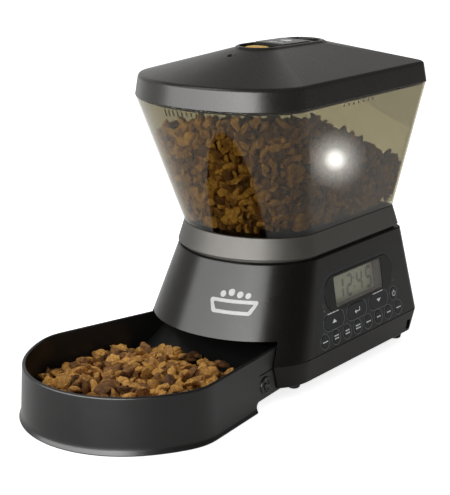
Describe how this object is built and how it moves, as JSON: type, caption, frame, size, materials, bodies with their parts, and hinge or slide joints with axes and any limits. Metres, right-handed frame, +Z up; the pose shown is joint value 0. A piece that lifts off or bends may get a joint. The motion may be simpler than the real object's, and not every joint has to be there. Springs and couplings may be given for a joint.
{
  "type": "automatic pet feeder",
  "caption": "Programmable pet feeder: open bowl, clear lift-off hopper with lid, rotor dispenser and keypad.",
  "frame": {"origin": "on the floor, under the middle of the feeder's overall length and width", "axes": "+Z up, -Y towards the bowl, +X towards the control panel"},
  "size_m": [0.1892, 0.4082, 0.2898],
  "materials": {
    "lid_plastic": "fine satin moulded texture, charcoal",
    "body_plastic": "satin moulded, near black",
    "bowl_plastic": "satin moulded, dark charcoal",
    "hopper_plastic": "clear, smoked olive grey, glossy",
    "collar_paint": "metallic grey paint, satin",
    "fascia_plastic": "satin, blue-grey black",
    "key_plastic": "satin, blue-grey black",
    "bezel_gloss": "gloss black",
    "window_clear": "clear",
    "well_plastic": "matt warm grey",
    "lcd_face": "liquid crystal display, olive",
    "indicator": "unlit lens",
    "amber_plastic": "satin amber",
    "label_metal": "brushed silver grey",
    "seal_rubber": "soft dark grey",
    "foot_rubber": "matt black",
    "inner_plastic": "plain black moulding",
    "gear_plastic": "natural white",
    "rotor_plastic": "dark grey moulding",
    "steel": "plain steel",
    "motor_steel": "plated can of a gear motor",
    "brass": "plain brass",
    "board_green": "circuit board",
    "cell_jacket": "plain cell jacket"
  },
  "bodies": {
    "base": {"collar_ring": "collar_paint", "upper_body": "body_plastic", "base_tray": "body_plastic", "supply_inlet": "inner_plastic", "rotor_housing": "inner_plastic", "chute": "inner_plastic", "shaft_bush_right": "brass", "shaft_bush_left": "brass", "idler_axle": "steel", "gear_motor": "motor_steel", "gear_plate": "steel", "control_fascia": "fascia_plastic", "display_bezel": "bezel_gloss", "display_window": "window_clear", "display_well": "well_plastic", "lcd_module": "lcd_face", "control_board": "board_green", "indicator_front": "indicator", "indicator_rear": "indicator", "battery_box": "inner_plastic", "foot_front_left": "foot_rubber", "case_screw_front_left": "steel", "cell_front_left": "cell_jacket", "foot_front_right": "foot_rubber", "case_screw_front_right": "steel", "cell_front_right": "cell_jacket", "foot_rear_left": "foot_rubber", "case_screw_rear_left": "steel", "cell_rear_left": "cell_jacket", "foot_rear_right": "foot_rubber", "case_screw_rear_right": "steel", "cell_rear_right": "cell_jacket", "battery_contact_left": "steel", "battery_contact_right_front": "steel", "battery_contact_right_rear": "steel"},
    "hopper": {"hopper": "hopper_plastic"},
    "lid": {"lid": "lid_plastic", "lid_seal": "seal_rubber", "lid_label_plate": "label_metal"},
    "lid_latch": {"lid_latch_button": "amber_plastic", "latch_spring": "steel"},
    "bowl": {"bowl": "bowl_plastic"},
    "battery_door": {"battery_door": "body_plastic"},
    "rotor": {"rotor": "rotor_plastic", "rotor_shaft": "steel", "rotor_gear": "gear_plastic"},
    "idler": {"idler_gear": "gear_plastic"},
    "pinion": {"motor_pinion": "gear_plastic"},
    "key_up": {"key_up": "key_plastic"},
    "key_enter": {"key_enter": "key_plastic"},
    "key_down": {"key_down": "key_plastic"},
    "key_power": {"key_power": "key_plastic"},
    "key_small_1": {"key_small_1": "key_plastic"},
    "key_small_2": {"key_small_2": "key_plastic"},
    "key_small_3": {"key_small_3": "key_plastic"},
    "key_small_4": {"key_small_4": "key_plastic"},
    "key_small_5": {"key_small_5": "key_plastic"},
    "key_small_6": {"key_small_6": "key_plastic"},
    "key_small_7": {"key_small_7": "key_plastic"},
    "key_small_8": {"key_small_8": "key_plastic"}
  },
  "joints": [
    {"name": "hopper_lift", "type": "slide", "parent": "base", "child": "hopper", "axis": [0, 0, 1], "range_m": [0, 0.15]},
    {"name": "lid_lift", "type": "slide", "parent": "hopper", "child": "lid", "axis": [0, 0, 1], "range_m": [0, 0.12]},
    {"name": "lid_latch_press", "type": "slide", "parent": "lid", "child": "lid_latch", "axis": [0, 0, -1], "range_m": [0, 0.003], "stiffness_N_per_m": 300, "springref_m": -0.001, "deforming": ["latch_spring"]},
    {"name": "bowl_pull", "type": "slide", "parent": "base", "child": "bowl", "axis": [0, -1, 0], "range_m": [0, 0.12]},
    {"name": "battery_door_open", "type": "hinge", "parent": "base", "child": "battery_door", "pos_m": [0, 0.1588, 0.0105], "axis": [1, 0, 0], "range_deg": [0, 100]},
    {"name": "rotor_spin", "type": "hinge", "parent": "base", "child": "rotor", "pos_m": [0, 0.04, 0.0905], "axis": [1, 0, 0], "continuous": true},
    {"name": "idler_spin", "type": "hinge", "parent": "base", "child": "idler", "pos_m": [0, 0.06656, 0.08338], "axis": [1, 0, 0], "continuous": true},
    {"name": "pinion_spin", "type": "hinge", "parent": "base", "child": "pinion", "pos_m": [0, 0.07997, 0.07213], "axis": [1, 0, 0], "continuous": true},
    {"name": "key_up_press", "type": "slide", "parent": "base", "child": "key_up", "axis": [-0.9831, -0.0786, -0.1656], "range_m": [0, 0.0008], "stiffness_N_per_m": 300, "springref_m": -0.0005},
    {"name": "key_enter_press", "type": "slide", "parent": "base", "child": "key_enter", "axis": [-0.9831, -0.0786, -0.1656], "range_m": [0, 0.0008], "stiffness_N_per_m": 300, "springref_m": -0.0005},
    {"name": "key_down_press", "type": "slide", "parent": "base", "child": "key_down", "axis": [-0.9831, -0.0786, -0.1656], "range_m": [0, 0.0008], "stiffness_N_per_m": 300, "springref_m": -0.0005},
    {"name": "key_power_press", "type": "slide", "parent": "base", "child": "key_power", "axis": [-0.9831, -0.0786, -0.1656], "range_m": [0, 0.0008], "stiffness_N_per_m": 300, "springref_m": -0.0005},
    {"name": "key_small_1_press", "type": "slide", "parent": "base", "child": "key_small_1", "axis": [-0.9831, -0.0786, -0.1656], "range_m": [0, 0.0008], "stiffness_N_per_m": 300, "springref_m": -0.0005},
    {"name": "key_small_2_press", "type": "slide", "parent": "base", "child": "key_small_2", "axis": [-0.9831, -0.0786, -0.1656], "range_m": [0, 0.0008], "stiffness_N_per_m": 300, "springref_m": -0.0005},
    {"name": "key_small_3_press", "type": "slide", "parent": "base", "child": "key_small_3", "axis": [-0.9831, -0.0786, -0.1656], "range_m": [0, 0.0008], "stiffness_N_per_m": 300, "springref_m": -0.0005},
    {"name": "key_small_4_press", "type": "slide", "parent": "base", "child": "key_small_4", "axis": [-0.9831, -0.0786, -0.1656], "range_m": [0, 0.0008], "stiffness_N_per_m": 300, "springref_m": -0.0005},
    {"name": "key_small_5_press", "type": "slide", "parent": "base", "child": "key_small_5", "axis": [-0.9831, -0.0786, -0.1656], "range_m": [0, 0.0008], "stiffness_N_per_m": 300, "springref_m": -0.0005},
    {"name": "key_small_6_press", "type": "slide", "parent": "base", "child": "key_small_6", "axis": [-0.9831, -0.0786, -0.1656], "range_m": [0, 0.0008], "stiffness_N_per_m": 300, "springref_m": -0.0005},
    {"name": "key_small_7_press", "type": "slide", "parent": "base", "child": "key_small_7", "axis": [-0.9831, -0.0786, -0.1656], "range_m": [0, 0.0008], "stiffness_N_per_m": 300, "springref_m": -0.0005},
    {"name": "key_small_8_press", "type": "slide", "parent": "base", "child": "key_small_8", "axis": [-0.9831, -0.0786, -0.1656], "range_m": [0, 0.0008], "stiffness_N_per_m": 300, "springref_m": -0.0005}
  ],
  "couplings": [
    {"joint": "idler_spin", "follows": "rotor_spin", "ratio": -1.75},
    {"joint": "pinion_spin", "follows": "rotor_spin", "ratio": 2.3333}
  ]
}
